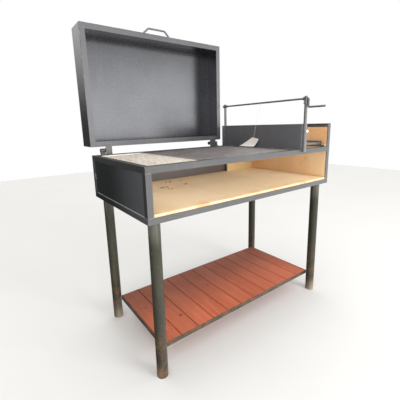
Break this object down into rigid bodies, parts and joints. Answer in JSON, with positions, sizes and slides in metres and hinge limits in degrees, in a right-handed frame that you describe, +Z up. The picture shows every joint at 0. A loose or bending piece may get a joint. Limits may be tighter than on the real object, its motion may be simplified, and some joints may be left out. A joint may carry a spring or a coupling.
{
  "type": "charcoal grill table",
  "caption": "Free-standing welded charcoal grill table with a brick-lined fire compartment, hinged box lid, lift-out grates, a raised fire box with crank shaft, and a slatted shelf",
  "frame": {"origin": "on the floor, below the middle of the whole object's box with the lid standing open", "axes": "+X to the right along the length as seen by the cook, +Y to the back, +Z up"},
  "size_m": [1.16, 0.845, 1.566],
  "materials": {
    "leg_tube": "weathered black paint, rusty towards the floor",
    "decking": "red-brown stained softwood",
    "frame_paint": "satin blue-grey paint",
    "sheet_paint": "satin charcoal paint",
    "lid_paint": "satin charcoal paint",
    "firebrick": "fired clay, matt",
    "expanded_metal": "pale mill finish",
    "grate_steel": "used, brown heat tint",
    "dark_steel": "satin dark grey paint",
    "zinc": "bright zinc",
    "card": "uncoated card",
    "string": "twisted cotton"
  },
  "bodies": {
    "table": {"back_panel": "sheet_paint", "back_wall_bricks": "firebrick", "base_rail_back": "frame_paint", "base_rail_front": "frame_paint", "base_rail_left": "frame_paint", "base_rail_right": "frame_paint", "brick_stop": "frame_paint", "cross_rail": "frame_paint", "divider_plate": "sheet_paint", "divider_uprights": "frame_paint", "ember_rail": "frame_paint", "floor_plate": "sheet_paint", "floor_slabs": "firebrick", "grate_ledges": "frame_paint", "hinge_bases": "dark_steel", "hinge_pins": "dark_steel", "left_panel": "sheet_paint", "leg_back_left": "leg_tube", "leg_back_right": "leg_tube", "leg_front_left": "leg_tube", "leg_front_right": "leg_tube", "post_sockets": "dark_steel", "raised_rails": "frame_paint", "right_panel": "sheet_paint", "right_wall_bricks": "firebrick", "shelf_board_01": "decking", "shelf_board_02": "decking", "shelf_board_03": "decking", "shelf_board_04": "decking", "shelf_board_05": "decking", "shelf_board_06": "decking", "shelf_board_07": "decking", "shelf_board_08": "decking", "shelf_board_09": "decking", "shelf_board_10": "decking", "shelf_board_11": "decking", "shelf_frame": "frame_paint", "shelf_screws": "zinc", "socket_bolts": "zinc", "top_rail_back": "frame_paint", "top_rail_front": "frame_paint", "top_rail_left": "frame_paint", "upright_back_left": "frame_paint", "upright_back_right": "frame_paint", "upright_front_left": "frame_paint", "upright_front_right": "frame_paint"},
    "lid": {"lid_shell": "lid_paint", "lid_rim": "lid_paint", "lid_handle": "dark_steel", "hinge_lugs": "dark_steel"},
    "mast": {"mast_posts": "dark_steel", "post_collar": "dark_steel", "swing_tag": "card", "tag_string": "string"},
    "crank": {"crank_shaft": "dark_steel", "shaft_collars": "dark_steel"},
    "mesh_grate": {"mesh_grate": "expanded_metal"},
    "bar_grate_left": {"bar_grate_left": "grate_steel"},
    "bar_grate_right": {"bar_grate_right": "grate_steel"},
    "ember_grate": {"ember_grate": "grate_steel"}
  },
  "joints": [
    {"name": "lid_hinge", "type": "hinge", "parent": "table", "child": "lid", "pos_m": [0, 0.311, 0.919], "axis": [-1, 0, 0], "range_deg": [-90, 0]},
    {"name": "mast_slide", "type": "slide", "parent": "table", "child": "mast", "axis": [0, 0, 1], "range_m": [0, 0.12]},
    {"name": "crank_spin", "type": "hinge", "parent": "mast", "child": "crank", "pos_m": [0.324, -0.0105, 1.155], "axis": [0, 1, 0], "continuous": true},
    {"name": "mesh_grate_lift", "type": "slide", "parent": "table", "child": "mesh_grate", "axis": [0, 0, 1], "range_m": [0, 0.1]},
    {"name": "bar_grate_left_lift", "type": "slide", "parent": "table", "child": "bar_grate_left", "axis": [0, 0, 1], "range_m": [0, 0.1]},
    {"name": "bar_grate_right_lift", "type": "slide", "parent": "table", "child": "bar_grate_right", "axis": [0, 0, 1], "range_m": [0, 0.1]},
    {"name": "ember_grate_lift", "type": "slide", "parent": "table", "child": "ember_grate", "axis": [0, 0, 1], "range_m": [0, 0.1]}
  ]
}
